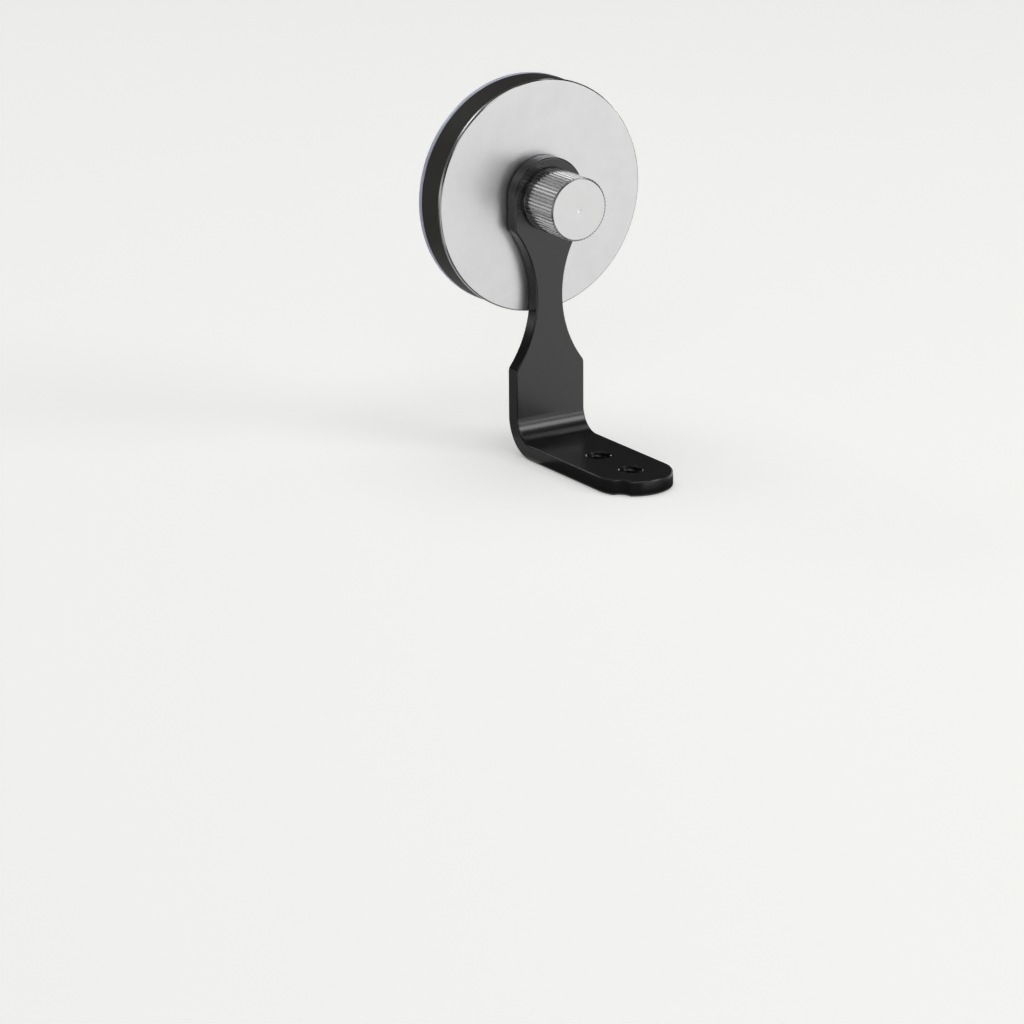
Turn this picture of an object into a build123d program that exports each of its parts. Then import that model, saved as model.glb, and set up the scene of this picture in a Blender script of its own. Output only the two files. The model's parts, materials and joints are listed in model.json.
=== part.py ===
from build123d import *
import math
import os

# Tripod adapter for a phone. A bent steel bracket screws down on a tripod head by either
# of two tapped holes in its foot. A round head with a sticky gel pad swivels against the
# upright, and a knurled thumb screw through the bracket locks it.
#
# Millimetres. The origin is the centre of the inner tripod hole, on the underside of the
# foot. +Z is up, +Y points from the foot's tip to the pad, and X runs along the bend.

# Bracket: one strip of steel plate, bent once
plate_thickness = 4.0
plate_width = 20.6
bend_inner_radius = 6.0
upright_setback = 26.2          # inner tripod hole to the rear face of the upright
axis_height = 66.0              # underside of the foot to the thumb screw's axis
hole_to_end = 10.7              # screw axis to the tip above it, outer tripod hole to the foot's tip
waist_width = 7.8
shoulder_height = 22.3          # where the waist begins, above the underside of the foot
head_side_length = 7.6          # straight side under the round end of the head
corner_rounding = 2.0           # the four corners where the waist meets the straight sides
edge_break = 0.35               # chamfer round the outline, on both skins
clamp_hole_clearance = 0.2      # around the clamp screw

# Tripod holes, tapped for a quarter inch tripod screw
tripod_hole_spacing = 14.6
tapped_hole_radius = 2.6
countersink_width = 0.7         # on top, added to the hole's radius
countersink_depth = 0.4         # a 120 degree drill point
tapped_hole_edge_break = 0.4    # on the underside

# Scallop in the foot's rim, to one side of its tip
scallop_angle = 49.0            # from the tip towards -X
scallop_radius = 3.0
scallop_depth = 1.1
scallop_corner_rounding = 0.5

# Thumb screw: turned knob on a pressed-in stud
knob_radius = 8.2
knob_length = 12.8
knob_front_chamfer = 0.35
knob_rear_chamfer = 0.4
knob_teeth = 56
knob_tooth_depth = 0.3
stud_radius = 2.95
stud_depth_in_knob = 9.0
stud_end_clearance = 1.5        # stud's tip to the gel pad, when clamped
stud_tip_chamfer = 0.6
knob_washer_inset = 0.3         # washer's rim inside the knob's
knob_washer_thickness = 0.6
knob_washer_clearance = 0.1     # around the stud
knob_washer_chamfer = 0.15

# Friction washer between the upright and the round head
friction_washer_inset = 1.1      # washer's rim inside the upright's sides
friction_washer_thickness = 0.2
friction_washer_clearance = 0.2  # around the stud

# Round head: cover plate, moulded housing and gel pad
head_radius = 30.0              # cover plate and gel pad
cover_thickness = 1.1
cover_bevel = 0.3
housing_inset = 0.2             # housing's rim inside theirs
housing_depth = 8.2
housing_wall = 2.0
housing_floor = 1.8
housing_edge_chamfer = 0.3
hub_radius = 8.0
rib_count = 8
rib_thickness = 1.4
ring_rib_radius = 19.0
pad_thickness = 1.2
pad_edge_chamfer = 0.25

# Brass insert moulded into the hub
insert_radius = 4.5
insert_running_clearance = 0.05  # around the stud, whose thread it carries
insert_flange_radius = 6.5
insert_flange_thickness = 1.2
insert_teeth = 28
insert_tooth_depth = 0.35
insert_nose_clearance = 0.1      # around the nose, in the cover plate's hole
insert_nose_recess = 0.1         # nose below the cover plate's outer face
insert_mouth_chamfer = 0.4

# Knurls: share of the pitch that each flank of a tooth takes, so that the crest has the rest
tooth_flank = 0.35

# Worked out from the sizes above
half_width = plate_width / 2
bend_outer_radius = bend_inner_radius + plate_thickness
front_face = upright_setback - plate_thickness
head_tip = axis_height + hole_to_end
foot_tip = -tripod_hole_spacing - hole_to_end
foot_round_centre = foot_tip + half_width
bore_radius = stud_radius + insert_running_clearance
knob_washer_radius = knob_radius - knob_washer_inset
friction_washer_radius = half_width - friction_washer_inset
housing_radius = head_radius - housing_inset

# Places along the screw's axis, counted from the upright's rear face towards the pad
washer_front = -plate_thickness - knob_washer_thickness
knob_front = washer_front - knob_length
cover_face = friction_washer_thickness
housing_face = cover_face + cover_thickness
pad_seat = housing_face + housing_depth
stud_tip = pad_seat - stud_end_clearance

# Two lengths closer than this are the same
tolerance = 1e-4

# On this plane local Z is the screw's axis, towards the pad, and local Z = 0 is the upright's rear face
screw_axis = Plane(origin=(0, upright_setback, axis_height), x_dir=(1, 0, 0), z_dir=(0, 1, 0))


def disc(radius, start, end):
    return Pos(0, 0, start) * Cylinder(radius, end - start, align=(Align.CENTER, Align.CENTER, Align.MIN))


def on_screw_axis(solid):
    return screw_axis.location * solid


def circles_at(solid, radius, place):
    """The round edges of one radius at one place along local Z."""
    rings = solid.edges().filter_by(GeomType.CIRCLE)
    return [e for e in rings if max(abs(e.radius - radius), abs(e.arc_center.Z - place)) < tolerance]


def strip_section():
    """Side view of the bent strip, as a solid as wide as the plate."""
    with BuildPart() as strip:
        with BuildSketch(Plane.YZ):
            with BuildLine():
                bend_centre = (upright_setback - bend_outer_radius, bend_outer_radius)
                outer_bend = CenterArc(bend_centre, bend_outer_radius, -90, 90)
                inner_bend = CenterArc(bend_centre, bend_inner_radius, -90, 90)
                Polyline(inner_bend @ 0, (foot_tip, plate_thickness), (foot_tip, 0), outer_bend @ 0)
                Polyline(inner_bend @ 1, (front_face, head_tip), (upright_setback, head_tip), outer_bend @ 1)
            make_face()
        extrude(amount=half_width, both=True)
    return strip.part


def upright_outline():
    """Front view of the bracket: round head, waist cut by two arcs, square shoulders."""
    round_centre = head_tip - half_width
    waist_top = round_centre - head_side_length
    waist_middle = (waist_top + shoulder_height) / 2
    with BuildPart() as outline:
        with BuildSketch(Plane.XZ.offset(-upright_setback)) as face:
            with BuildLine():
                Line((-half_width, 0), (-half_width, shoulder_height))
                ThreePointArc((-half_width, shoulder_height), (-waist_width / 2, waist_middle), (-half_width, waist_top))
                Line((-half_width, waist_top), (-half_width, round_centre))
                ThreePointArc((-half_width, round_centre), (0, head_tip), (half_width, round_centre))
                Line((half_width, round_centre), (half_width, waist_top))
                ThreePointArc((half_width, waist_top), (waist_width / 2, waist_middle), (half_width, shoulder_height))
                Polyline((half_width, shoulder_height), (half_width, 0), (-half_width, 0))
            make_face()
            heights = (shoulder_height, waist_top)
            corners = [v for v in face.vertices() if min(abs(v.Z - height) for height in heights) < tolerance]
            fillet(corners, corner_rounding)
        extrude(amount=upright_setback - foot_tip)
    return outline.part


def foot_outline():
    """Plan view of the bracket: round tip with the scallop to one side."""
    scallop_centre_radius = half_width - scallop_depth + scallop_radius
    scallop_x = -scallop_centre_radius * math.sin(math.radians(scallop_angle))
    scallop_y = foot_round_centre - scallop_centre_radius * math.cos(math.radians(scallop_angle))
    with BuildPart() as outline:
        with BuildSketch() as face:
            with BuildLine():
                ThreePointArc((-half_width, foot_round_centre), (0, foot_tip), (half_width, foot_round_centre))
                Polyline(
                    (half_width, foot_round_centre), (half_width, upright_setback),
                    (-half_width, upright_setback), (-half_width, foot_round_centre),
                )
            make_face()
            with Locations((scallop_x, scallop_y)):
                Circle(scallop_radius, mode=Mode.SUBTRACT)
            centre = Vector(scallop_x, scallop_y)
            corners = [v for v in face.vertices() if abs((Vector(*v) - centre).length - scallop_radius) < tolerance]
            fillet(corners, scallop_corner_rounding)
        extrude(amount=head_tip)
    return outline.part


def outline_edges(solid):
    """Edges round the outline on both skins: all but the bend's tangent lines and those through the plate."""
    edges = solid.edges()
    bend_lines = edges.filter_by(Axis.X)
    through_upright = edges.filter_by(Axis.Y).filter_by(lambda edge: edge.center().Z > bend_outer_radius)
    through_foot = edges.filter_by(Axis.Z).filter_by(lambda edge: edge.center().Z < plate_thickness)
    return edges - bend_lines - through_upright - through_foot


def make_bracket():
    blank = strip_section() & upright_outline() & foot_outline()
    bracket = chamfer(outline_edges(blank), edge_break)
    mouth_radius = tapped_hole_radius + countersink_width
    countersink = Cone(
        tapped_hole_radius, mouth_radius, countersink_depth, align=(Align.CENTER, Align.CENTER, Align.MAX)
    )
    for hole_y in (0, -tripod_hole_spacing):
        bracket -= Pos(0, hole_y, 0) * disc(tapped_hole_radius, 0, plate_thickness)
        bracket -= Pos(0, hole_y, plate_thickness) * countersink
    bracket = chamfer(circles_at(bracket, tapped_hole_radius, 0), tapped_hole_edge_break)
    clamp_hole = disc(stud_radius + clamp_hole_clearance, -plate_thickness, 0)
    return bracket - on_screw_axis(clamp_hole)


def toothed_disc(radius, count, depth, start, end):
    """Straight knurl: flat crests with V grooves between them."""
    pitch = 2 * math.pi / count
    outline = []
    for tooth in range(count):
        outline.append((radius - depth, tooth * pitch))
        outline.append((radius, (tooth + tooth_flank) * pitch))
        outline.append((radius, (tooth + 1 - tooth_flank) * pitch))
    points = [(r * math.cos(a), r * math.sin(a)) for r, a in outline]
    face = make_face(Polyline(*points, close=True))
    return Pos(0, 0, start) * extrude(face, end - start)


def make_knob():
    blank = disc(knob_radius, knob_front, washer_front)
    blank = chamfer(circles_at(blank, knob_radius, knob_front), knob_front_chamfer)
    blank = chamfer(circles_at(blank, knob_radius, washer_front), knob_rear_chamfer)
    knurl = toothed_disc(knob_radius, knob_teeth, knob_tooth_depth, knob_front, washer_front)
    stud_bore = disc(stud_radius, washer_front - stud_depth_in_knob, washer_front)
    return (blank & knurl) - stud_bore


def make_clamp_screw():
    stud = disc(stud_radius, washer_front - stud_depth_in_knob, stud_tip)
    return chamfer(circles_at(stud, stud_radius, stud_tip), stud_tip_chamfer)


def make_knob_washer():
    ring = disc(knob_washer_radius, washer_front, -plate_thickness)
    rims = circles_at(ring, knob_washer_radius, washer_front) + circles_at(ring, knob_washer_radius, -plate_thickness)
    ring = chamfer(rims, knob_washer_chamfer)
    return ring - disc(stud_radius + knob_washer_clearance, washer_front, -plate_thickness)


def make_friction_washer():
    hole = disc(stud_radius + friction_washer_clearance, 0, cover_face)
    return disc(friction_washer_radius, 0, cover_face) - hole


def make_cover_plate():
    plate = disc(head_radius, cover_face, housing_face)
    plate = chamfer(circles_at(plate, head_radius, cover_face), cover_bevel)
    return plate - disc(insert_radius + insert_nose_clearance, cover_face, housing_face)


def make_housing():
    """Moulded cup, open towards the cover plate, with a hub, a ring rib and radial ribs."""
    floor_face = pad_seat - housing_floor
    cup = disc(housing_radius, housing_face, pad_seat)
    cup = chamfer(circles_at(cup, housing_radius, pad_seat), housing_edge_chamfer)
    inner_radius = housing_radius - housing_wall
    cup -= disc(inner_radius, housing_face, floor_face)
    ring = disc(ring_rib_radius + rib_thickness / 2, housing_face, floor_face)
    cup += ring - disc(ring_rib_radius - rib_thickness / 2, housing_face, floor_face)
    rib_length = inner_radius + housing_wall / 2
    for index in range(rib_count):
        rib = Box(rib_length, rib_thickness, floor_face - housing_face, align=(Align.MIN, Align.CENTER, Align.MIN))
        cup += Rot(0, 0, index * 360 / rib_count) * Pos(0, 0, housing_face) * rib
    cup += disc(hub_radius, housing_face, pad_seat)
    cup -= disc(insert_radius, housing_face, pad_seat)
    return cup - disc(insert_flange_radius, pad_seat - insert_flange_thickness, pad_seat)


def make_threaded_insert():
    """Flange under the pad, toothed body in the hub and a plain nose that centres the cover plate."""
    flange_face = pad_seat - insert_flange_thickness
    body = toothed_disc(insert_radius, insert_teeth, insert_tooth_depth, housing_face, flange_face)
    nose_face = cover_face + insert_nose_recess
    insert = body + disc(insert_radius, nose_face, housing_face)
    insert += disc(insert_flange_radius, flange_face, pad_seat)
    insert -= disc(bore_radius, nose_face, pad_seat)
    return chamfer(circles_at(insert, bore_radius, nose_face), insert_mouth_chamfer)


def make_gel_pad():
    pad = disc(head_radius, pad_seat, pad_seat + pad_thickness)
    return chamfer(circles_at(pad, head_radius, pad_seat + pad_thickness), pad_edge_chamfer)


parts = {
    "bracket": make_bracket(),
    "knob": on_screw_axis(make_knob()),
    "clamp_screw": on_screw_axis(make_clamp_screw()),
    "knob_washer": on_screw_axis(make_knob_washer()),
    "friction_washer": on_screw_axis(make_friction_washer()),
    "cover_plate": on_screw_axis(make_cover_plate()),
    "housing": on_screw_axis(make_housing()),
    "threaded_insert": on_screw_axis(make_threaded_insert()),
    "gel_pad": on_screw_axis(make_gel_pad()),
}

os.makedirs("parts", exist_ok=True)
for name, part in parts.items():
    export_step(part, f"parts/{name}.step")
    print(name, len(part.solids()), round(part.volume, 1))
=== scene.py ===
import json
import math

import bmesh
import bpy
from mathutils import Matrix, Vector


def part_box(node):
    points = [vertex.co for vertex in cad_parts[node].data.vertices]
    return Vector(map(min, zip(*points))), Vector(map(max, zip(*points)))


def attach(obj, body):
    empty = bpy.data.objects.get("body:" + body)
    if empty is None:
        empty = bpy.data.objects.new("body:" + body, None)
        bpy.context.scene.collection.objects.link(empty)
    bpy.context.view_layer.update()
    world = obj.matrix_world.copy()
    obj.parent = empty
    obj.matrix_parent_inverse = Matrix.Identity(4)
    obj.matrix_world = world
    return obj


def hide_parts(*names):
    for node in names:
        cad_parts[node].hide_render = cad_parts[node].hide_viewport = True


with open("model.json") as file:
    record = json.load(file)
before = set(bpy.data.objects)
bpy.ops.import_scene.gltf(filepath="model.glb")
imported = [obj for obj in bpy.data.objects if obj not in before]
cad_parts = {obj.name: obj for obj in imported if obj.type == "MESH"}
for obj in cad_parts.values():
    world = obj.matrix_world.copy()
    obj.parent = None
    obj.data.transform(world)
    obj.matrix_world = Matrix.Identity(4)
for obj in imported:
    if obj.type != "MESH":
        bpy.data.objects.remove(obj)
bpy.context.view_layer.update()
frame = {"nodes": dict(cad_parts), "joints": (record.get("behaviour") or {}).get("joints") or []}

# Tripod adapter for a phone: black bent bracket, silver round head with a gel pad, knurled thumb screw.
# Blender's unit is the metre. Sizes in the dictionaries are in millimetres, apart from the studio's.
mm = 0.001
bracketLow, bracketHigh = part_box("bracket")
screwAxis = Vector(next(joint["pos_m"] for joint in frame["joints"] if joint["name"] == "head_swivel"))


# Colours and nodes

def srgb(code):
    channels = [int(code[i:i + 2], 16) / 255 for i in (1, 3, 5)]
    return [c / 12.92 if c <= 0.04045 else ((c + 0.055) / 1.055) ** 2.4 for c in channels] + [1.0]


def perMetre(size):  # texture scale for a pattern that repeats every so many millimetres
    return 1 / (size * mm)


def newMaterial(name):
    material = bpy.data.materials.new(name)
    material.use_nodes = True
    return material, material.node_tree.nodes["Principled BSDF"]


def addNode(owner, kind, settings=None, values=None, links=None):
    # owner is a material or the world; settings are the node's own menus, values go in its sockets,
    # and links bring in other nodes' outputs
    node = owner.node_tree.nodes.new(kind)
    for key, value in (settings or {}).items():
        setattr(node, key, value)
    for key, value in (values or {}).items():
        node.inputs[key].default_value = value
    for key, output in (links or {}).items():
        owner.node_tree.links.new(output, node.inputs[key])
    return node


def connect(owner, output, socket):
    owner.node_tree.links.new(output, socket)


# Materials

noiseLow, noiseHigh = 0.3, 0.7  # most of a noise texture's values lie between these

powderLook = {
    "colour": "#131314",
    "peel": 1.1,             # orange peel, mm from crest to crest
    "peelHeight": 0.003,
    "grain": 0.3,            # the cured powder's own grain is near 0.05 mm, drawn coarser so that it shows
    "grainHeight": 0.0002,
    "roughness": (0.245, 0.265),
    "ior": 1.7,              # polyester is near 1.55, this coat shines a little more
}


def polyesterPowderCoat(look):
    # black polyester powder coat, oven cured: semi-gloss, with a faint orange peel that breaks up reflections
    material, shader = newMaterial("polyesterPowderCoat")
    place = addNode(material, "ShaderNodeTexCoord").outputs["Object"]
    peel = addNode(material, "ShaderNodeTexNoise", values={"Scale": perMetre(look["peel"]), "Detail": 1},
                   links={"Vector": place})
    grain = addNode(material, "ShaderNodeTexNoise", values={"Scale": perMetre(look["grain"]), "Detail": 2},
                    links={"Vector": place})
    low, high = look["roughness"]
    gloss = addNode(material, "ShaderNodeMapRange",
                    values={"From Min": noiseLow, "From Max": noiseHigh, "To Min": low, "To Max": high},
                    links={"Value": grain.outputs["Fac"]})
    waves = addNode(material, "ShaderNodeBump", values={"Distance": look["peelHeight"] * mm},
                    links={"Height": peel.outputs["Fac"]})
    bump = addNode(material, "ShaderNodeBump", values={"Distance": look["grainHeight"] * mm},
                   links={"Height": grain.outputs["Fac"], "Normal": waves.outputs["Normal"]})
    shader.inputs["Base Color"].default_value = srgb(look["colour"])
    shader.inputs["IOR"].default_value = look["ior"]
    connect(material, gloss.outputs["Result"], shader.inputs["Roughness"])
    connect(material, bump.outputs["Normal"], shader.inputs["Normal"])
    return material


blastedLook = {
    "colour": "#e4e4e6",
    "darker": "#dedee0",
    "grit": 0.35,             # 120 grit leaves pits near 0.1 mm, drawn coarser so that they show
    "cloud": 4.0,             # soft unevenness of the anodic film, mm
    "pitDepth": 0.006,
    "speckle": (0.05, 0.35),  # pits times cloud, from the darker colour to the lighter
    "roughness": 0.33,
}


def blastedAnodisedAluminium(look):
    # aluminium blasted with fine grit, then clear anodised: an even satin silver with a dry, speckled grain
    material, shader = newMaterial("blastedAnodisedAluminium")
    place = addNode(material, "ShaderNodeTexCoord").outputs["Object"]
    pits = addNode(material, "ShaderNodeTexNoise", values={"Scale": perMetre(look["grit"]), "Detail": 3},
                   links={"Vector": place})
    cloud = addNode(material, "ShaderNodeTexNoise", values={"Scale": perMetre(look["cloud"]), "Detail": 2},
                    links={"Vector": place})
    speckle = addNode(material, "ShaderNodeMath", {"operation": "MULTIPLY"},
                      links={0: pits.outputs["Fac"], 1: cloud.outputs["Fac"]})
    low, high = look["speckle"]
    share = addNode(material, "ShaderNodeMapRange", values={"From Min": low, "From Max": high},
                    links={"Value": speckle.outputs["Value"]})
    colour = addNode(material, "ShaderNodeMix", {"data_type": "RGBA"},
                     values={6: srgb(look["darker"]), 7: srgb(look["colour"])},
                     links={0: share.outputs["Result"]})
    bump = addNode(material, "ShaderNodeBump", values={"Strength": 0.5, "Distance": look["pitDepth"] * mm},
                   links={"Height": pits.outputs["Fac"]})
    shader.inputs["Metallic"].default_value = 1.0
    shader.inputs["Roughness"].default_value = look["roughness"]
    connect(material, colour.outputs[2], shader.inputs["Base Color"])
    connect(material, bump.outputs["Normal"], shader.inputs["Normal"])
    return material


# a fine cut leaves rings near 0.1 mm apart, drawn far coarser so that they show
# the bevel's grey, well below cut aluminium's, is painted shade: the thin dark line round the silver face
bevelPaintedShadeLook = {"colour": "#a2a2a2", "ringGap": 2.2, "roughness": 0.16, "markHeight": 0.004}
knobFaceLook = {"colour": "#e2e2e3", "ringGap": 3.14, "roughness": 0.33, "markHeight": 0.003}
# the chamfer's grey, darker than the plate, is painted shade: the thin dark ring round the knob's face
knobChamferShadeLook = {"colour": "#8e8d8b", "ringGap": 1.26, "roughness": 0.3, "markHeight": 0.003}


def turnedMetal(name, look):
    # metal faced in a lathe: fine rings round the screw's axis that pull the highlights into a fan
    material, shader = newMaterial(name)
    place = addNode(material, "ShaderNodeTexCoord").outputs["Object"]
    centred = addNode(material, "ShaderNodeMapping", values={"Location": -screwAxis},
                      links={"Vector": place})
    ringScale = perMetre(look["ringGap"]) * 2 * math.pi / 20  # a wave turns 20 radians in each unit
    rings = addNode(material, "ShaderNodeTexWave", {"wave_type": "RINGS", "rings_direction": "Y"},
                    values={"Scale": ringScale, "Distortion": 0.6, "Detail": 2},
                    links={"Vector": centred.outputs["Vector"]})
    bump = addNode(material, "ShaderNodeBump", values={"Strength": 0.4, "Distance": look["markHeight"] * mm},
                   links={"Height": rings.outputs["Fac"]})
    shader.inputs["Base Color"].default_value = srgb(look["colour"])
    shader.inputs["Metallic"].default_value = 1.0
    shader.inputs["Roughness"].default_value = look["roughness"]
    connect(material, bump.outputs["Normal"], shader.inputs["Normal"])
    return material


def platedMetal(name, colour, roughness, grain):
    # plated steel or bare turned brass: an even bright skin, whose gloss wanders by a fifth either way
    material, shader = newMaterial(name)
    place = addNode(material, "ShaderNodeTexCoord").outputs["Object"]
    mottle = addNode(material, "ShaderNodeTexNoise", values={"Scale": perMetre(grain), "Detail": 3},
                     links={"Vector": place})
    gloss = addNode(material, "ShaderNodeMapRange",
                    values={"From Min": noiseLow, "From Max": noiseHigh,
                            "To Min": roughness * 0.8, "To Max": roughness * 1.2},
                    links={"Value": mottle.outputs["Fac"]})
    bump = addNode(material, "ShaderNodeBump", values={"Strength": 0.08, "Distance": 0.004 * mm},
                   links={"Height": mottle.outputs["Fac"]})
    shader.inputs["Base Color"].default_value = srgb(colour)
    shader.inputs["Metallic"].default_value = 1.0
    connect(material, gloss.outputs["Result"], shader.inputs["Roughness"])
    connect(material, bump.outputs["Normal"], shader.inputs["Normal"])
    return material


def mouldedPlastic(name, colour, roughness, grain, height):
    # plastic moulded against a spark-eroded tool: matt, with a fine pebbled grain
    material, shader = newMaterial(name)
    place = addNode(material, "ShaderNodeTexCoord").outputs["Object"]
    pebble = addNode(material, "ShaderNodeTexNoise", values={"Scale": perMetre(grain), "Detail": 2},
                     links={"Vector": place})
    bump = addNode(material, "ShaderNodeBump", values={"Strength": 0.5, "Distance": height * mm},
                   links={"Height": pebble.outputs["Fac"]})
    shader.inputs["Base Color"].default_value = srgb(colour)
    shader.inputs["IOR"].default_value = 1.53  # ABS is near 1.54 and nylon near 1.53
    shader.inputs["Roughness"].default_value = roughness
    connect(material, bump.outputs["Normal"], shader.inputs["Normal"])
    return material


gelLook = {
    "colour": "#d6d8ea",
    "deeper": "#cbcfe8",
    "cloud": 9.0,            # patches that are a little deeper in colour and duller, mm
    "cloudRange": (0.2, 0.8),
    "roughness": (0.14, 0.3),
    "ripple": 6.0,           # from casting, mm
    "rippleHeight": 0.04,
    "depth": 1.6,            # how far light goes in
    "ior": 1.48,
}


def polyurethaneGel(look):
    # soft polyurethane gel, cast: milky lavender, light goes a little way in, wet-looking surface
    material, shader = newMaterial("polyurethaneGel")
    place = addNode(material, "ShaderNodeTexCoord").outputs["Object"]
    ripple = addNode(material, "ShaderNodeTexNoise", values={"Scale": perMetre(look["ripple"]), "Detail": 1},
                     links={"Vector": place})
    bump = addNode(material, "ShaderNodeBump",
                   values={"Strength": 0.6, "Distance": look["rippleHeight"] * mm},
                   links={"Height": ripple.outputs["Fac"]})
    cloud = addNode(material, "ShaderNodeTexNoise", values={"Scale": perMetre(look["cloud"]), "Detail": 3},
                    links={"Vector": place})
    colour = addNode(material, "ShaderNodeMix", {"data_type": "RGBA"},
                     values={6: srgb(look["deeper"]), 7: srgb(look["colour"])},
                     links={0: cloud.outputs["Fac"]})
    low, high = look["cloudRange"]
    smooth, tacky = look["roughness"]
    gloss = addNode(material, "ShaderNodeMapRange",
                    values={"From Min": low, "From Max": high, "To Min": smooth, "To Max": tacky},
                    links={"Value": cloud.outputs["Fac"]})
    connect(material, colour.outputs[2], shader.inputs["Base Color"])
    connect(material, gloss.outputs["Result"], shader.inputs["Roughness"])
    shader.inputs["IOR"].default_value = look["ior"]
    shader.inputs["Subsurface Weight"].default_value = 1.0
    shader.inputs["Subsurface Radius"].default_value = (0.8, 0.85, 1.0)
    shader.inputs["Subsurface Scale"].default_value = look["depth"] * mm
    connect(material, bump.outputs["Normal"], shader.inputs["Normal"])
    return material


blackCoat = polyesterPowderCoat(powderLook)
blastedSilver = blastedAnodisedAluminium(blastedLook)
cutBevelPaintedShade = turnedMetal("diamondCutAluminiumPaintedShade", bevelPaintedShadeLook)
satinNickel = platedMetal("satinNickelPlate", "#f4f4f3", roughness=0.12, grain=0.6)
# the grooves' nickel, darker than the crests', is painted shade in the knurl's hollows
nickelGroovePaintedShade = platedMetal("nickelPlatePaintedShadeInGrooves", "#c0bfbc", roughness=0.26, grain=0.4)
nickelFace = turnedMetal("turnedNickelPlate", knobFaceLook)
nickelChamferPaintedShade = turnedMetal("turnedNickelChamferPaintedShade", knobChamferShadeLook)
zincSteel = platedMetal("zincPlatedSteel", "#c4c8cc", roughness=0.28, grain=0.5)
brass = platedMetal("turnedBrass", "#d0a45c", roughness=0.3, grain=0.5)
nylon = mouldedPlastic("naturalNylon", "#dcd8cc", roughness=0.5, grain=0.4, height=0.01)
blackPlastic = mouldedPlastic("mouldedAbs", "#302f2d", roughness=0.6, grain=0.4, height=0.02)
gel = polyurethaneGel(gelLook)
print("materials made:", len(bpy.data.materials))


# Mesh helpers

def newPiece(name, mesh, body, nodes, materials, sharpAngle=35):
    piece = bpy.data.objects.new(name, mesh)
    bpy.context.scene.collection.objects.link(piece)
    for material in materials:
        mesh.materials.append(material)
    mesh.polygons.foreach_set("use_smooth", [True] * len(mesh.polygons))
    mesh.set_sharp_from_angle(angle=math.radians(sharpAngle))
    weighted = piece.modifiers.new("flatFacesStayFlat", "WEIGHTED_NORMAL")
    weighted.keep_sharp = True
    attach(piece, body)
    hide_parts(*nodes)
    return piece


def alongScrew(radius, angle, place):
    # a point round the screw's axis: the angle runs from +Z towards +X, place is the row's Y
    across, up = radius * math.sin(angle), radius * math.cos(angle)
    return Vector((screwAxis.x + across, place, screwAxis.z + up))


def evenAngles(count):
    return [2 * math.pi * step / count for step in range(count)]


def turnedMesh(name, rows, angles, closed=True, materialOf=None):
    # a row is (radius, place along Y) or a function of the angle that gives both; a radius of 0 is a pole
    mesh = bpy.data.meshes.new(name)
    builder = bmesh.new()
    columns = len(angles)
    rings = []
    for row in rows:
        if not callable(row) and row[0] == 0:
            rings.append([builder.verts.new(alongScrew(0, 0, row[1]))])
            continue
        ring = []
        for angle in angles:
            radius, place = row(angle) if callable(row) else row
            ring.append(builder.verts.new(alongScrew(radius, angle, place)))
        rings.append(ring)
    pairs = list(zip(rings, rings[1:]))
    if closed:
        pairs.append((rings[-1], rings[0]))
    for index, (near, far) in enumerate(pairs):
        for column in range(columns):
            after = (column + 1) % columns
            if len(near) == 1:
                face = builder.faces.new((near[0], far[after], far[column]))
            elif len(far) == 1:
                face = builder.faces.new((near[column], near[after], far[0]))
            else:
                face = builder.faces.new((near[column], near[after], far[after], far[column]))
            face.material_index = materialOf(index, column) if materialOf else 0
    bmesh.ops.recalc_face_normals(builder, faces=builder.faces)
    builder.to_mesh(mesh)
    builder.free()
    return mesh


def groove(turns, flank=0.42, blunt=0.4):
    # depth share of a V thread, once a turn; flank is its half width, blunt rounds the root and the crest
    across = min(abs((turns % 1) - 0.5) / flank, 1)
    return (1 - blunt) * (1 - across) + blunt * (0.5 + 0.5 * math.cos(math.pi * across))


# Bracket

bracketShape = {
    "thickness": 4.0,
    "insideBend": 6.0,
    "waistWidth": 7.8,
    "shoulderHeight": 22.3,
    "headSide": 7.6,         # straight side below the round end
    "waistCorner": 2.0,
    "edgeRound": 0.45,
    "edgeSteps": 5,
    "scallopAngle": 49.0,    # from the tip of the foot towards -X
    "scallopRadius": 3.0,
    "scallopDepth": 1.1,
    "scallopCorner": 0.5,
    "holeGap": 14.6,         # between the two tripod holes
    "tapDrill": 2.6,
    "threadPitch": 1.27,     # 20 turns to the inch
    "threadDepth": 0.55,
    "countersink": 0.7,
    "sinkSlope": 0.577,      # rise over run of a 120 degree drill point
    "sinkLip": 0.12,         # worn edge round the countersink
    "lipDepth": 0.03,
    "underBreak": 0.4,
    "clampHole": 3.15,
    "clampBreak": 0.2,
    "holeRows": 56,          # from the top face to the underside
    "holeColumns": 96,
    "bendCuts": 30,
}


def arcPoints(centre, radius, start, end, step=4.0):
    count = max(2, math.ceil(abs(end - start) / step))
    angles = [math.radians(start + (end - start) * i / count) for i in range(count + 1)]
    return [Vector((centre[0] + radius * math.cos(a), centre[1] + radius * math.sin(a))) for a in angles]


def withoutRepeats(points):
    return [p for p, after in zip(points, points[1:] + points[:1]) if (p - after).length > 1e-4]


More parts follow.
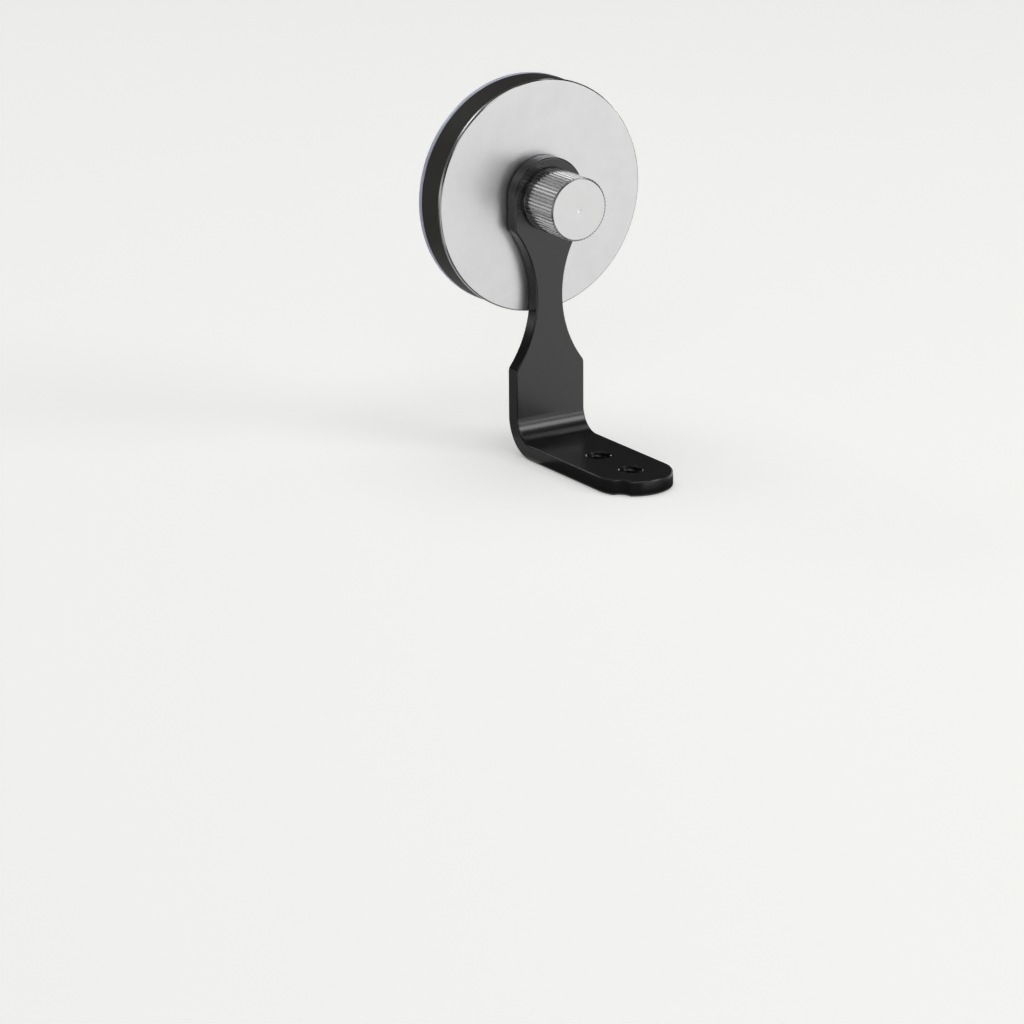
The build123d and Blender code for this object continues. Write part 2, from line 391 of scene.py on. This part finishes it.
def blankOutline(shape):
    # the strip laid flat, in millimetres: x across, then the length along it, 0 at the inner tripod hole
    half = bracketHigh.x / mm
    setback = bracketHigh.y / mm
    outerBend = shape["insideBend"] + shape["thickness"]
    bendStart = setback - outerBend
    bendLength = math.pi / 2 * (outerBend + shape["insideBend"]) / 2

    def flat(height):  # a height on the upright, as a length along the strip
        return bendStart + bendLength + height - outerBend

    footRound = (0, bracketLow.y / mm + half)
    headRound = (0, flat(bracketHigh.z / mm - half))
    waistTop = headRound[1] - shape["headSide"]
    waistLow = flat(shape["shoulderHeight"])
    waistMiddle = (waistTop + waistLow) / 2
    rise = (waistTop - waistLow) / 2
    bite = half - shape["waistWidth"] / 2
    waistRadius = (rise ** 2 + bite ** 2) / (2 * bite)
    waistCentre = (shape["waistWidth"] / 2 + waistRadius, waistMiddle)
    corner = shape["waistCorner"]
    cornerX = half - corner
    cornerRise = math.sqrt((waistRadius + corner) ** 2 - (waistCentre[0] - cornerX) ** 2)
    lean = math.degrees(math.atan2(cornerRise, waistCentre[0] - cornerX))
    rightSide = (
        arcPoints((cornerX, waistMiddle - cornerRise), corner, 0, lean, 10)
        + arcPoints(waistCentre, waistRadius, 180 + lean, 180 - lean, 2)
        + arcPoints((cornerX, waistMiddle + cornerRise), corner, -lean, 0, 10)
    )
    leftSide = [Vector((-p.x, p.y)) for p in reversed(rightSide)]

    def fromFoot(reach, angle):  # a point at this distance and angle from the round end's centre
        turned = math.radians(angle)
        return footRound[0] + reach * math.cos(turned), footRound[1] + reach * math.sin(turned)

    def cornerAngle(beside, other, facing):  # of a triangle with these sides, by the law of cosines
        return math.degrees(math.acos((beside ** 2 + other ** 2 - facing ** 2) / (2 * beside * other)))

    # the scallop bites into the foot's round end, with its two corners rounded
    away = half - shape["scallopDepth"] + shape["scallopRadius"]
    biteAngle = 270 - shape["scallopAngle"]
    biteCentre = fromFoot(away, biteAngle)
    cornerOut = half - shape["scallopCorner"]
    cornerReach = shape["scallopRadius"] + shape["scallopCorner"]
    opening = cornerAngle(cornerOut, away, cornerReach)
    turn = cornerAngle(cornerReach, away, cornerOut)
    corners = [fromFoot(cornerOut, biteAngle + side * opening) for side in (-1, 1)]
    footArc = (
        arcPoints(footRound, half, 180, biteAngle - opening)
        + arcPoints(corners[0], shape["scallopCorner"], biteAngle - opening, biteAngle + turn, 12)
        + arcPoints(biteCentre, shape["scallopRadius"], biteAngle + 180 + turn, biteAngle + 180 - turn, 8)
        + arcPoints(corners[1], shape["scallopCorner"], biteAngle - turn, biteAngle + opening, 12)
        + arcPoints(footRound, half, biteAngle + opening, 360)
    )
    outline = footArc + rightSide + arcPoints(headRound, half, 0, 180) + leftSide
    return withoutRepeats(outline), bendStart, bendLength, flat


def bentPoint(x, along, height, shape, bendStart, bendLength):
    # the flat strip's point, bent round the inside radius: height 0 is the underside and the upright's rear
    outerBend = shape["insideBend"] + shape["thickness"]
    turned = min(max((along - bendStart) / bendLength, 0), 1) * math.pi / 2
    radius = outerBend - height
    y = bendStart + radius * math.sin(turned)
    z = outerBend - radius * math.cos(turned)
    if along < bendStart:
        y = along
    if along > bendStart + bendLength:
        z += along - bendStart - bendLength
    return Vector((x, y, z)) * mm


def joinRings(builder, rings):
    for near, far in zip(rings, rings[1:]):
        for column in range(len(near)):
            after = (column + 1) % len(near)
            builder.faces.new((near[column], near[after], far[after], far[column]))


def bracketMesh(shape):
    outline, bendStart, bendLength, flat = blankOutline(shape)
    thickness, edge = shape["thickness"], shape["edgeRound"]
    count = len(outline)
    inward = []
    for index in range(count):
        along = outline[(index + 1) % count] - outline[index - 1]
        inward.append(Vector((-along.y, along.x)).normalized())

    # the rim's section: a quarter round at each skin and a flat between them
    steps = shape["edgeSteps"]
    quarter = [math.radians(90 * step / steps) for step in range(steps + 1)]
    section = [(edge * (1 - math.sin(a)), edge * (1 - math.cos(a))) for a in quarter]
    section += [(inset, thickness - height) for inset, height in reversed(section)]
    builder = bmesh.new()
    rings = []
    for inset, height in section:
        rings.append([builder.verts.new((*(p + n * inset), height)) for p, n in zip(outline, inward)])
    joinRings(builder, rings)
    skins = [[rings[-1]], [rings[0]]]  # top skin, underside

    def holeRings(middle, heights, radiusAt):
        made = []
        for height in heights:
            ring = []
            for angle in evenAngles(shape["holeColumns"]):
                radius = radiusAt(height, angle)
                place = (radius * math.cos(angle), middle + radius * math.sin(angle), height)
                ring.append(builder.verts.new(place))
            made.append(ring)
        joinRings(builder, made)
        skins[0].append(made[0])
        skins[1].append(made[-1])

    def tappedRadius(height, angle):
        turns = height / shape["threadPitch"] - angle / (2 * math.pi)
        thread = shape["tapDrill"] + shape["threadDepth"] * groove(turns)
        top = shape["tapDrill"] + shape["countersink"] - (thickness - height) / shape["sinkSlope"]
        if height > thickness - 1e-6:
            top += shape["sinkLip"]
        under = shape["tapDrill"] + shape["underBreak"] - height
        return max(thread, top, under) if 0 < height < thickness else max(top, under)

    def clampRadius(height, angle):
        return shape["clampHole"] + max(0, shape["clampBreak"] - min(height, thickness - height))

    rows = shape["holeRows"]
    tappedHeights = [thickness, thickness - shape["lipDepth"]]
    tappedHeights += [thickness * (1 - step / rows) for step in range(1, rows + 1)]
    for middle in (0, -shape["holeGap"]):
        holeRings(middle, tappedHeights, tappedRadius)
    clampHeights = [thickness, thickness - shape["clampBreak"], shape["clampBreak"], 0]
    holeRings(flat(screwAxis.z / mm), clampHeights, clampRadius)

    for loops in skins:
        edges = []
        for loop in loops:
            for vertex, after in zip(loop, loop[1:] + loop[:1]):
                found = builder.edges.get((vertex, after))
                edges.append(found or builder.edges.new((vertex, after)))
        bmesh.ops.triangle_fill(builder, use_beauty=True, edges=edges)

    # cuts across the strip let it follow the bend
    for step in range(shape["bendCuts"] + 1):
        level = bendStart + bendLength * step / shape["bendCuts"]
        everything = builder.verts[:] + builder.edges[:] + builder.faces[:]
        bmesh.ops.bisect_plane(builder, geom=everything, plane_co=(0, level, 0), plane_no=(0, 1, 0),
                               dist=1e-5)
    for vertex in builder.verts:
        vertex.co = bentPoint(*vertex.co, shape, bendStart, bendLength)
    bmesh.ops.recalc_face_normals(builder, faces=builder.faces)
    mesh = bpy.data.meshes.new("bentBracket")
    builder.to_mesh(mesh)
    builder.free()
    return mesh


bentBracket = newPiece("bentBracket", bracketMesh(bracketShape), "bracket",
                       ["bracket"], [blackCoat])
print("bracket made:", len(bentBracket.data.polygons), "faces")


# Thumb screw

knobShape = {
    "teeth": 56,
    "toothDepth": 0.3,
    "crest": 0.22,           # half the width of a tooth's flat top, as a share of the pitch
    "crestRound": 0.05,      # the worn corner beside it
    "wornDrop": 0.12,        # how far that corner falls, as a share of the tooth's depth
    "root": 0.04,
    "frontChamfer": 0.45,
    "frontSlope": 0.6,       # the front chamfer's depth over its width
    "rearChamfer": 0.4,
    "leastBreak": 0.02,      # edge break that even the tooth's root gets
    "rimGap": 0.04,          # between the flat faces and the start of the chamfers
    "studRadius": 2.95,
    "centreMark": 1.0,       # radius of the lathe centre's mark in the front face
    "markDepth": 0.19,
    "lead": 1.0,             # thread lead, one millimetre a turn
    "threadDepth": 0.6,
    "tipChamfer": 0.6,
    "rowGap": 0.1,           # between the stud's rings
    "studColumns": 48,
}


def knobMesh(shape):
    low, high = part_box("knob")
    full = high.z - screwAxis.z
    front, rear = low.y, high.y
    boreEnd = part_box("clamp_screw")[0].y
    crest, worn, root = shape["crest"], shape["crest"] + shape["crestRound"], 0.5 - shape["root"]
    drop, gap, least = shape["wornDrop"], shape["rimGap"] * mm, shape["leastBreak"] * mm
    shares = (-worn, -crest, crest, worn, root, 1 - root)
    pitch = 2 * math.pi / shape["teeth"]
    angles = [pitch * (tooth + share) for tooth in range(shape["teeth"]) for share in shares]

    def toothRadius(angle):  # straight flanks between the worn corners and a narrow root
        turn = (angle / pitch) % 1
        across = min(turn, 1 - turn)
        if across <= worn:
            share = drop * max(across - crest, 0) / (worn - crest)
        else:
            share = drop + (1 - drop) * min((across - worn) / (root - worn), 1)
        return full - shape["toothDepth"] * mm * share

    faceRadius = full - shape["frontChamfer"] * mm
    backRadius = full - shape["rearChamfer"] * mm

    def frontRow(angle):  # where the front chamfer runs out on this part of the tooth
        radius = toothRadius(angle)
        return radius, front + max(shape["frontSlope"] * (radius - faceRadius), least)

    def rearRow(angle):
        radius = toothRadius(angle)
        return radius, rear - max(radius - backRadius, least)

    mark, depth, bore = shape["centreMark"] * mm, shape["markDepth"] * mm, shape["studRadius"] * mm
    rows = [(0, front + depth), (mark * 0.3, front + depth * 0.9), (mark * 0.8, front + depth * 0.2),
            (mark, front), (faceRadius * 0.5, front), (faceRadius * 0.9, front),
            lambda angle: (min(faceRadius, toothRadius(angle)) - gap, front), frontRow, rearRow,
            lambda angle: (min(backRadius, toothRadius(angle)) - gap, rear),
            (bore, rear), (bore, boreEnd), (0, boreEnd)]
    chamferRow = rows.index(frontRow) - 1
    plating, turnedFace, paintedShadeGroove, paintedShadeChamfer = range(4)  # in the order of the knob's materials

    def part(row, column):  # bright crests, a turned front face, a chamfer painted darker as shade, and grooves painted darker as shade and rougher
        if row < chamferRow:
            return turnedFace
        if row == chamferRow:
            return paintedShadeChamfer
        inGroove = row == chamferRow + 1 and column % len(shares) > 3
        return paintedShadeGroove if inGroove else plating

    return turnedMesh("knurledKnob", rows, angles, closed=False, materialOf=part)


def studMesh(shape):
    low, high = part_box("clamp_screw")
    root, tip = low.y, high.y
    crest = shape["studRadius"] * mm

    def threadRow(place):
        def row(angle):
            turns = (place - screwAxis.y) / (shape["lead"] * mm) - angle / (2 * math.pi)
            thread = crest - shape["threadDepth"] * mm * groove(turns)
            return min(thread, crest - shape["tipChamfer"] * mm + (tip - place)), place
        return row

    count = round((tip - root) / (shape["rowGap"] * mm))
    rows = [threadRow(root + (tip - root) * step / count) for step in range(count + 1)]
    rows = [(0, root)] + rows + [(0, tip)]
    return turnedMesh("threadedStud", rows, evenAngles(shape["studColumns"]), closed=False)


washerShape = {"innerRadius": 3.05, "edge": 0.15, "columns": 128}


def washerMesh(shape):
    low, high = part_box("knob_washer")
    outer, inner, edge = high.z - screwAxis.z, shape["innerRadius"] * mm, shape["edge"] * mm
    rows = [(outer - edge, low.y), (outer - edge * 0.3, low.y + edge * 0.3), (outer, low.y + edge),
            (outer, high.y - edge), (outer - edge * 0.3, high.y - edge * 0.3), (outer - edge, high.y),
            (inner, high.y), (inner, low.y)]
    return turnedMesh("knobWasher", rows, evenAngles(shape["columns"]))


newPiece("knurledKnob", knobMesh(knobShape), "thumb_screw",
         ["knob"], [satinNickel, nickelFace, nickelGroovePaintedShade, nickelChamferPaintedShade], sharpAngle=20)
newPiece("threadedStud", studMesh(knobShape), "thumb_screw",
         ["clamp_screw"], [zincSteel], sharpAngle=50)
newPiece("knobWasher", washerMesh(washerShape), "washer", ["knob_washer"], [zincSteel])
print("thumb screw made")


# Round head

headShape = {"bevel": 0.3, "coverHole": 4.6, "edge": 0.06, "gelInset": 0.12, "gelEdge": 0.25, "columns": 256}


def coverMesh(shape):
    low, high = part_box("cover_plate")
    outer, bevel, edge = high.z - screwAxis.z, shape["bevel"] * mm, shape["edge"] * mm
    hole = shape["coverHole"] * mm
    bevelStart = (outer - bevel, low.y + edge * 0.4)
    rows = [(hole, low.y), (outer * 0.5, low.y), (outer - bevel - edge, low.y), bevelStart,
            (outer - edge * 0.4, low.y + bevel), (outer, low.y + bevel + edge), (outer, high.y - edge),
            (outer - edge * 0.3, high.y - edge * 0.3), (outer - edge, high.y), (hole, high.y)]

    # the bevel's material is a darker grey: painted shade, the thin dark line round the face
    def part(row, column):  # the bevel alone has the second material
        return 1 if row == rows.index(bevelStart) else 0

    return turnedMesh("silverCover", rows, evenAngles(shape["columns"]), materialOf=part)


def gelMesh(shape):
    low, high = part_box("gel_pad")
    outer, edge = high.z - screwAxis.z - shape["gelInset"] * mm, shape["gelEdge"] * mm
    rows = [(0, low.y), (outer * 0.6, low.y), (outer - edge, low.y), (outer - edge * 0.3, low.y + edge * 0.3)]
    rows += [(outer, low.y + edge), (outer, high.y - edge)]
    for degrees in (22, 45, 68, 90):  # the rear edge is a quarter round
        angle = math.radians(degrees)
        rows.append((outer - edge * (1 - math.cos(angle)), high.y - edge * (1 - math.sin(angle))))
    rows += [(outer * 0.6, high.y), (0, high.y)]
    return turnedMesh("stickyPad", rows, evenAngles(shape["columns"]), closed=False)


newPiece("silverCover", coverMesh(headShape), "swivel_head",
         ["cover_plate"], [blastedSilver, cutBevelPaintedShade], sharpAngle=25)
newPiece("stickyPad", gelMesh(headShape), "swivel_head", ["gel_pad"], [gel], sharpAngle=60)

for node, material in (("friction_washer", nylon), ("housing", blackPlastic), ("threaded_insert", brass)):
    carried = frame["nodes"][node]
    carried.data.materials.clear()
    carried.data.materials.append(material)
print("round head made")


# Floor, lights and camera

# distances in metres
studio = {
    "floor": "#efefed",
    "floorHalf": 6,
    "floorLift": 0.35,
    "farLift": 0.75,              # the paper's lift where it runs far from the lamps
    "farRange": (0.8, 2.2),       # distance from the object over which the lift grows
    "walls": 0.05,                # dim room light
    "horizon": 0.8,               # paler band where the far floor meets the wall
    "horizonBand": (0.02, 0.08),  # where the band fades, as the sine of the angle above the horizon
    "aim": (0, 0.01, 0.05),       # what the lamps face
    # name: compass degrees from -Y towards +X, degrees up, distance, width, height, radiance
    "lamps": {
        "keyBox": (38, 29, 1.3, 0.6, 0.34, 3.9),
        "lowBox": (34, 9, 1.5, 0.7, 0.2, 2.8),
        "sideBox": (92, 54, 1.3, 0.5, 0.14, 1.6),
        "rearStrip": (194, 33, 1.3, 0.45, 0.1, 5.0),
        "rightStrip": (116, 8, 1.4, 0.9, 0.08, 5.0),
        "leftBox": (-35, 32, 1.5, 0.7, 0.4, 1.9),
        "leftLowBox": (-22, 14, 1.6, 0.7, 0.2, 0.8),
        "rearLeftSpot": (132, -1, 0.4, 0.06, 0.05, 4.0),
        "rearRightSpot": (162, 1, 0.4, 0.05, 0.03, 7.0),
        "topBox": (5, 60, 1.5, 0.7, 0.5, 2.6),
        "skyPanel": (180, 75, 1.8, 1.8, 1.8, 1.6),
    },
    # name: colour, low corner, high corner. These are painted reflections: grey sheets seen only in
    # reflections, the dark ones standing for shaded surroundings and the paler ones painting lighter patches
    # and highlights; one stands behind, the others lie on the floor round the foot
    "cards": {
        "rearFlag": ("#464646", (-0.05, 0.45, 0.0), (0.5, 0.45, 0.3)),
        "sideFlag": ("#202020", (0.02, 0.04, 0.001), (0.65, 0.45, 0.001)),
        "backFlag": ("#202020", (-0.45, 0.105, 0.001), (-0.03, 0.45, 0.001)),
        "frontFlag": ("#181818", (-0.15, -0.5, 0.0008), (-0.04, -0.045, 0.0008)),
        "footFlag": ("#5a5a5a", (-0.085, -0.045, 0.0005), (-0.004, 0.012, 0.0005)),
        "tipFlag": ("#505050", (-0.004, -0.0285, 0.0005), (0.0145, 0.012, 0.0005)),
        # tipGrey and tipPale step towards white: a painted highlight on the side of the foot's round tip
        "tipGrey": ("#808080", (-0.004, -0.0315, 0.0005), (0.0145, -0.0285, 0.0005)),
        "tipPale": ("#b0b0b0", (-0.004, -0.0345, 0.0005), (0.0145, -0.0315, 0.0005)),
        "bendFlag": ("#c8c8c8", (-0.085, 0.012, 0.0005), (-0.011, 0.035, 0.0005)),
        "uprightFlag": ("#909090", (-0.085, 0.035, 0.0005), (-0.015, 0.1, 0.0005)),
    },
}


def outward(compass, up):  # unit vector: compass degrees from -Y towards +X, then degrees up
    a, b = math.radians(compass), math.radians(up)
    return Vector((math.sin(a) * math.cos(b), -math.cos(a) * math.cos(b), math.sin(b)))


def stagePlane(name, corners, material):
    mesh = bpy.data.meshes.new(name)
    mesh.from_pydata(corners, [], [(0, 1, 2, 3)])
    mesh.materials.append(material)
    plane = bpy.data.objects.new(name, mesh)
    bpy.context.scene.collection.objects.link(plane)
    return plane


def makeFloor(settings):
    # white paper: seen straight or in a reflection it is lifted towards white, and it keeps the shadows
    material = bpy.data.materials.new("paperSweep")
    material.use_nodes = True
    nodes = material.node_tree.nodes
    nodes.remove(nodes["Principled BSDF"])
    paper = addNode(material, "ShaderNodeBsdfDiffuse", values={"Color": srgb(settings["floor"])})
    place = addNode(material, "ShaderNodeTexCoord").outputs["Object"]
    away = addNode(material, "ShaderNodeVectorMath", {"operation": "LENGTH"}, links={0: place})
    near, far = settings["farRange"]
    lift = addNode(material, "ShaderNodeMapRange", {"interpolation_type": "SMOOTHSTEP"},
                   values={"From Min": near, "From Max": far, "To Min": settings["floorLift"],
                           "To Max": settings["farLift"]}, links={"Value": away.outputs["Value"]})
    white = addNode(material, "ShaderNodeEmission", values={"Color": srgb(settings["floor"])},
                    links={"Strength": lift.outputs["Result"]})
    both = addNode(material, "ShaderNodeAddShader", links={0: paper.outputs[0], 1: white.outputs[0]})
    rays = addNode(material, "ShaderNodeLightPath")
    seen = addNode(material, "ShaderNodeMath", {"operation": "MAXIMUM"},
                   links={0: rays.outputs["Is Camera Ray"], 1: rays.outputs["Is Glossy Ray"]})
    through = addNode(material, "ShaderNodeMath", {"operation": "MAXIMUM"},
                      links={0: seen.outputs[0], 1: rays.outputs["Is Transmission Ray"]})
    mixed = addNode(material, "ShaderNodeMixShader",
                    links={0: through.outputs[0], 1: paper.outputs[0], 2: both.outputs[0]})
    connect(material, mixed.outputs[0], nodes["Material Output"].inputs["Surface"])
    half = settings["floorHalf"]
    stagePlane("floor", [(-half, -half, 0), (half, -half, 0), (half, half, 0), (-half, half, 0)], material)


def makeCards(settings):
    # grey cards that paint reflections into the coat and the metal: they cast nothing, and only a reflection
    # shows them
    for name, (colour, low, high) in settings["cards"].items():
        material, shader = newMaterial(name + "PaintedReflection")
        shader.inputs["Base Color"].default_value = srgb(colour)
        shader.inputs["Roughness"].default_value = 1.0
        shader.inputs["Specular IOR Level"].default_value = 0.0
        lying = low[2] == high[2]
        last = (low[0], high[1], low[2]) if lying else (low[0], low[1], high[2])
        card = stagePlane(name, [low, (high[0], low[1], low[2]), high, last], material)
        card.visible_camera = card.visible_diffuse = card.visible_shadow = False


def makeWorld(settings):
    # a dim room with a pale band at the horizon
    world = bpy.data.worlds.new("studioWalls")
    bpy.context.scene.world = world
    world.use_nodes = True
    background = world.node_tree.nodes["Background"]
    direction = addNode(world, "ShaderNodeTexCoord")
    parts = addNode(world, "ShaderNodeSeparateXYZ", links={0: direction.outputs["Generated"]})
    low, high = settings["horizonBand"]
    strength = addNode(world, "ShaderNodeMapRange", {"interpolation_type": "SMOOTHSTEP"},
                       values={"From Min": low, "From Max": high, "To Min": settings["horizon"],
                               "To Max": settings["walls"]},
                       links={"Value": parts.outputs["Z"]})
    background.inputs["Color"].default_value = (1, 1, 1, 1)
    connect(world, strength.outputs["Result"], background.inputs["Strength"])


def makeLamps(settings):
    # soft boxes that no camera ray sees
    for name, (compass, up, distance, width, height, radiance) in settings["lamps"].items():
        lamp = bpy.data.lights.new(name, "AREA")
        lamp.shape = "RECTANGLE"
        lamp.size, lamp.size_y = width, height
        lamp.energy = radiance * math.pi * width * height
        holder = bpy.data.objects.new(name, lamp)
        bpy.context.scene.collection.objects.link(holder)
        out = outward(compass, up)
        holder.location = Vector(settings["aim"]) + out * distance
        holder.rotation_euler = out.to_track_quat("Z", "Y").to_euler()
        holder.visible_camera = False
        holder.visible_glossy = name != "skyPanel"   # it only fills the shadows
        holder.visible_diffuse = "Spot" not in name  # the low spots only put glints on edges


cameraSettings = {
    "place": (-674.391, -1010.265, 373.464),  # millimetres
    "compass": -32.6854,
    "up": 17.564,
    "roll": -0.366,
    "focalPixels": 5022,
    "imagePixels": 1024,
}


def makeCamera(settings):
    back = outward(settings["compass"], settings["up"])
    right = outward(settings["compass"] + 90, 0)
    above = back.cross(right)
    roll = math.radians(settings["roll"])
    rolledRight = math.cos(roll) * right + math.sin(roll) * above
    rolledUp = -math.sin(roll) * right + math.cos(roll) * above
    camera = bpy.data.cameras.new("photoView")
    camera.sensor_width = 36
    camera.lens = settings["focalPixels"] * camera.sensor_width / settings["imagePixels"]
    camera.clip_start, camera.clip_end = 0.05, 30
    holder = bpy.data.objects.new("photoView", camera)
    bpy.context.scene.collection.objects.link(holder)
    turn = Matrix((rolledRight, rolledUp, back)).transposed().to_4x4()
    holder.matrix_world = Matrix.Translation(Vector(settings["place"]) * mm) @ turn
    bpy.context.scene.camera = holder


makeFloor(studio)
makeCards(studio)
makeWorld(studio)
makeLamps(studio)
makeCamera(cameraSettings)
bpy.context.scene.view_settings.view_transform = "Standard"
print("studio ready")
